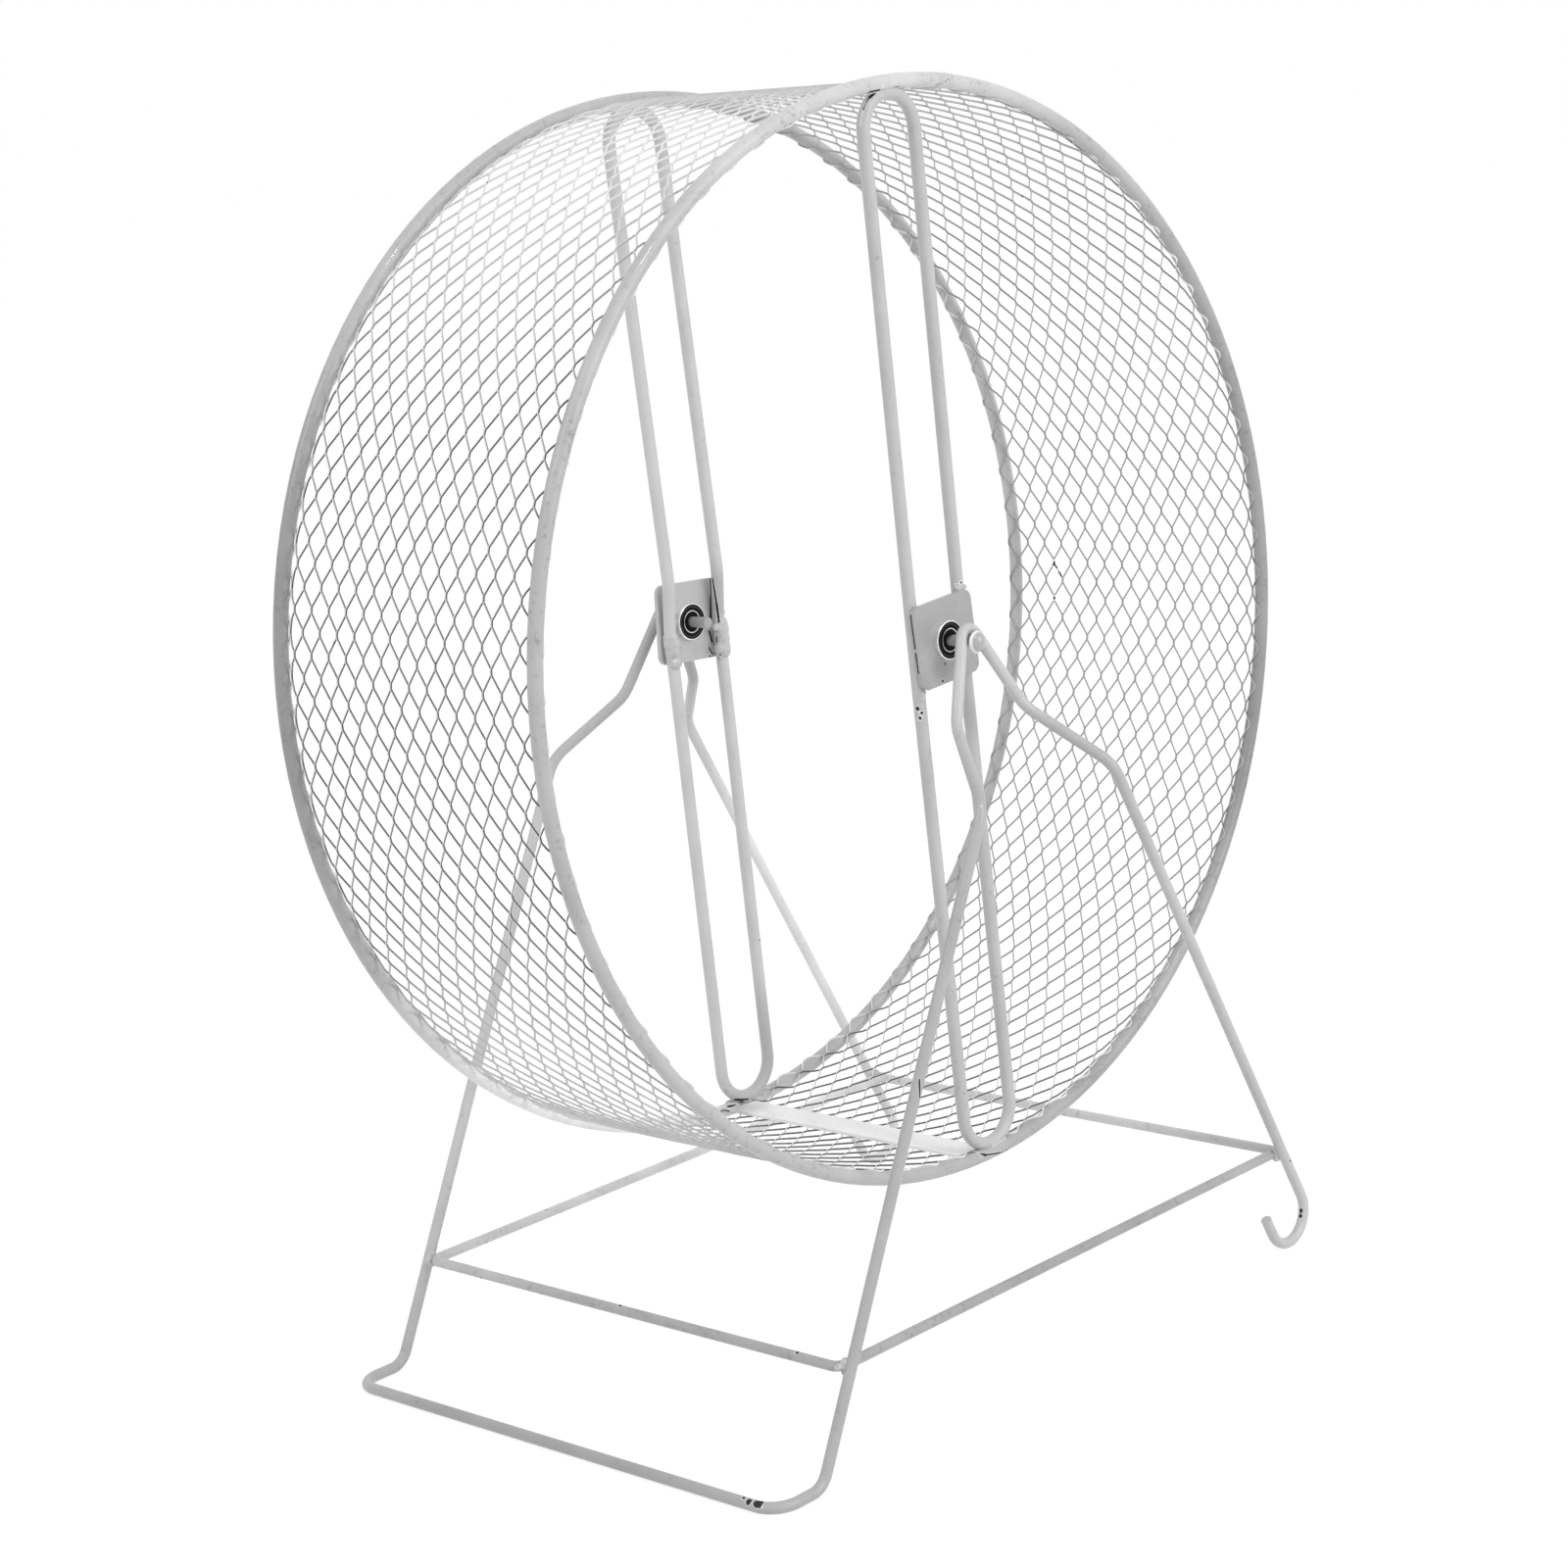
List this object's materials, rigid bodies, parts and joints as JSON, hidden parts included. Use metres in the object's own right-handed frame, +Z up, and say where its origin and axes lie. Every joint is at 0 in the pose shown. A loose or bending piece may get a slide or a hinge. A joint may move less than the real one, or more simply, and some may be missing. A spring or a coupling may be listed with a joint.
{
  "type": "hamster wheel",
  "caption": "Open running wheel of expanded wire mesh for a small pet, turning on ball bearings in a free-standing bent wire stand with hooked feet.",
  "frame": {"origin": "on the ground, under the middle of the axle, at the middle of the bounding box's base", "axes": "+Z up; Y is the axle, with the front of the wheel at -Y; the foot bar is at -X and the two hooked feet at +X"},
  "size_m": [0.2798, 0.1578, 0.3271],
  "materials": {
    "white_powder_coat": "white powder coat, satin, worn through in small places",
    "bearing_steel": "turned and pressed bearing steel, dulled",
    "ball_steel": "polished"
  },
  "bodies": {
    "stand": {"stand_wire": "white_powder_coat", "base_wire": "white_powder_coat", "front_axle_pin": "white_powder_coat", "front_bearing_inner_ring": "bearing_steel", "rear_axle_pin": "white_powder_coat", "rear_bearing_inner_ring": "bearing_steel"},
    "wheel": {"tread_mesh": "white_powder_coat", "tread_seam_strip": "white_powder_coat", "front_ring": "white_powder_coat", "front_spoke_loop": "white_powder_coat", "front_hub_plate": "white_powder_coat", "front_bearing_outer_ring": "bearing_steel", "front_bearing_outer_shield": "bearing_steel", "front_bearing_inner_shield": "bearing_steel", "rear_ring": "white_powder_coat", "rear_spoke_loop": "white_powder_coat", "rear_hub_plate": "white_powder_coat", "rear_bearing_outer_ring": "bearing_steel", "rear_bearing_outer_shield": "bearing_steel", "rear_bearing_inner_shield": "bearing_steel"},
    "front_cage": {"front_bearing_cage": "bearing_steel", "front_bearing_balls": "ball_steel"},
    "rear_cage": {"rear_bearing_cage": "bearing_steel", "rear_bearing_balls": "ball_steel"}
  },
  "joints": [
    {"name": "wheel_spin", "type": "hinge", "parent": "stand", "child": "wheel", "pos_m": [0, 0, 0.1872], "axis": [0, 1, 0], "continuous": true},
    {"name": "front_cage_spin", "type": "hinge", "parent": "stand", "child": "front_cage", "pos_m": [0, 0, 0.1872], "axis": [0, 1, 0], "continuous": true},
    {"name": "rear_cage_spin", "type": "hinge", "parent": "stand", "child": "rear_cage", "pos_m": [0, 0, 0.1872], "axis": [0, 1, 0], "continuous": true}
  ],
  "couplings": [
    {"joint": "front_cage_spin", "follows": "wheel_spin", "ratio": 0.62215},
    {"joint": "rear_cage_spin", "follows": "wheel_spin", "ratio": 0.62215}
  ]
}
